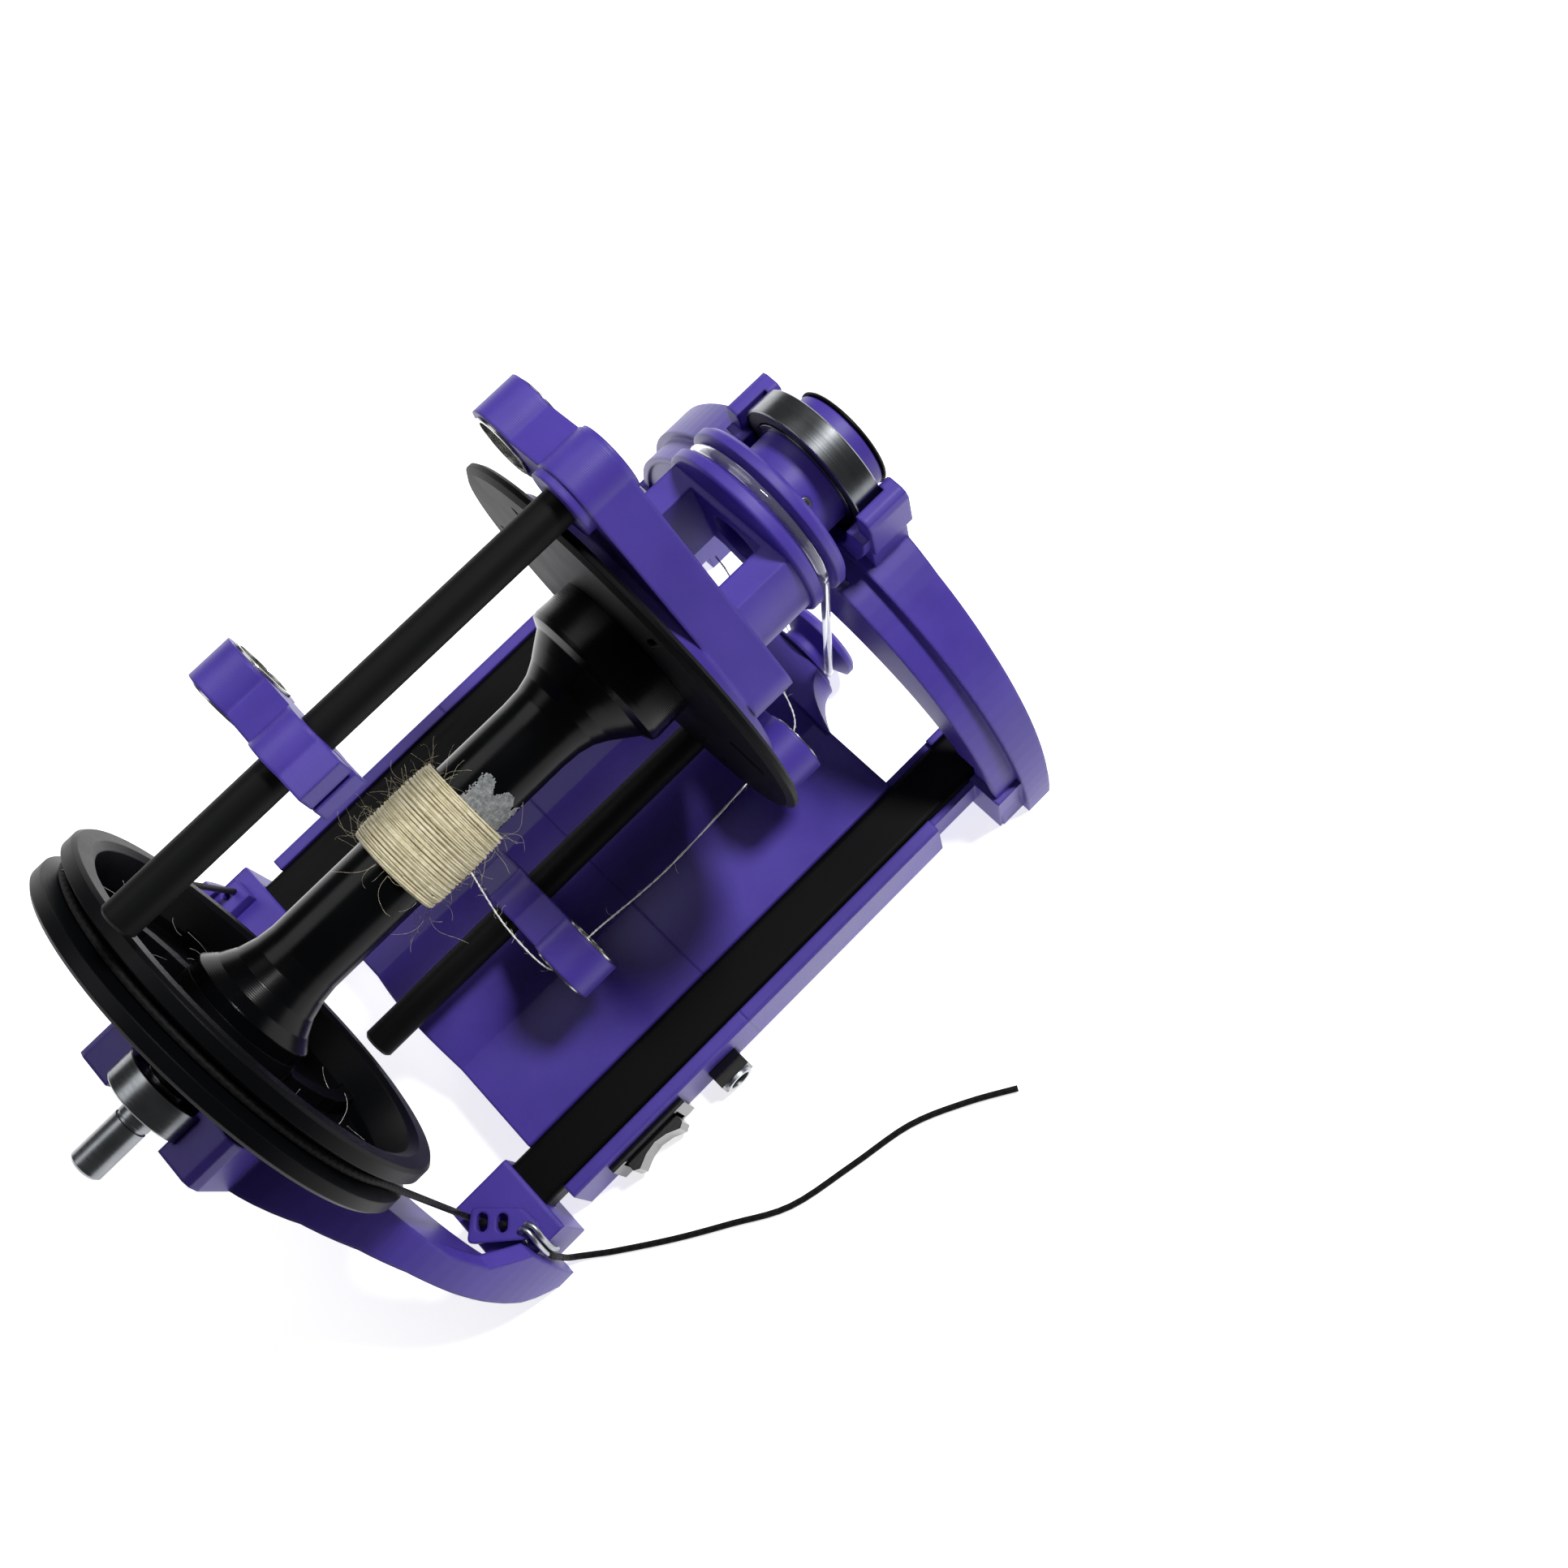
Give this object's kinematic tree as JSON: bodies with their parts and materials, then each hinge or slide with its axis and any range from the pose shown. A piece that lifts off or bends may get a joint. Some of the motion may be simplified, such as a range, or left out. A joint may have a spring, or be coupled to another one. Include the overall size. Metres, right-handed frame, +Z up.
{
  "type": "electric spinning wheel",
  "caption": "Compact electric spinning wheel: arched printed stand, belt-driven flyer with yarn rings on rods, bobbin with brake cord, steel shaft in ball bearings.",
  "frame": {"origin": "on the table under the flyer axis, midway between the ends of the whole length to within 2 mm", "axes": "+Y along the flyer axis from the orifice to the rear, +Z up, +X to the side away from the switch"},
  "size_m": [0.1862, 0.2232, 0.154],
  "materials": {
    "violet_print": "smooth printed plastic, soft sheen",
    "black_print": "printed plastic, satin",
    "black_bar": "extruded bar, dull",
    "switch_black": "moulded, glossy",
    "steel": "ground and polished",
    "eyelet_metal": "bright",
    "motor_steel": "plated",
    "belt_clear": "clear drawn cord",
    "board_green": "solder mask",
    "seal_black": "moulded",
    "bush_brass": "sintered",
    "wool": "spun wool",
    "paper_grey": "paper",
    "cord_black": "braided cord"
  },
  "bodies": {
    "stand": {"front_maiden": "violet_print", "rear_maiden": "violet_print", "base_bar_left": "black_bar", "base_bar_right": "black_bar", "housing_front": "violet_print", "housing_rear": "violet_print", "housing_cover": "violet_print", "cover_screws": "steel", "motor_can": "motor_steel", "motor_screws": "steel", "drive_belt": "belt_clear", "speed_board": "board_green", "power_jack": "switch_black", "power_jack_ring": "steel", "switch_bezel": "switch_black", "front_bearing_outer": "steel", "front_bearing_balls": "steel", "front_bearing_seal": "seal_black", "rear_bearing_outer": "steel", "rear_bearing_balls": "steel", "rear_bearing_seal": "steel", "brake_cord": "cord_black", "brake_tail": "cord_black", "brake_tensioner": "violet_print", "brake_hook": "steel", "brake_anchor": "violet_print"},
    "flyer": {"flyer_head": "violet_print", "orifice_liner": "black_print", "whorl_grub_screw": "steel", "flyer_rod_upper": "black_bar", "flyer_rod_lower": "black_bar", "fixed_eyelet_upper": "eyelet_metal", "fixed_eyelet_lower": "eyelet_metal", "flyer_shaft": "steel", "shaft_spacer": "black_print", "front_bearing_inner": "steel", "rear_bearing_inner": "steel", "yarn_strand": "wool"},
    "bobbin": {"bobbin_front_flange": "black_print", "bobbin_core": "black_print", "bobbin_whorl": "black_print", "bobbin_bushes": "bush_brass", "wound_yarn": "wool", "yarn_leader": "paper_grey"},
    "upper_guide": {"guide_upper": "violet_print", "guide_upper_eyelet": "eyelet_metal"},
    "lower_guide": {"guide_lower": "violet_print", "guide_lower_eyelet": "eyelet_metal"},
    "motor_rotor": {"motor_shaft": "steel", "motor_pulley": "violet_print"},
    "rocker": {"switch_rocker": "switch_black"}
  },
  "joints": [
    {"name": "flyer_spin", "type": "hinge", "parent": "stand", "child": "flyer", "pos_m": [0, 0, 0.09], "axis": [0, 1, 0], "continuous": true, "deforming": ["yarn_strand"]},
    {"name": "bobbin_spin", "type": "hinge", "parent": "flyer", "child": "bobbin", "pos_m": [0, 0, 0.09], "axis": [0, 1, 0], "continuous": true},
    {"name": "upper_guide_slide", "type": "slide", "parent": "flyer", "child": "upper_guide", "axis": [0, 1, 0], "range_m": [-0.054, 0.037]},
    {"name": "lower_guide_slide", "type": "slide", "parent": "flyer", "child": "lower_guide", "axis": [0, 1, 0], "range_m": [-0.049, 0.042]},
    {"name": "motor_spin", "type": "hinge", "parent": "stand", "child": "motor_rotor", "pos_m": [0, -0.085, 0.0126], "axis": [0, 1, 0], "continuous": true},
    {"name": "switch_rock", "type": "hinge", "parent": "stand", "child": "rocker", "pos_m": [-0.0614, 0.0295, 0.0077], "axis": [0, 0, 1], "range_deg": [-10, 10]}
  ],
  "couplings": [
    {"joint": "motor_spin", "follows": "flyer_spin", "ratio": 2.4599}
  ]
}
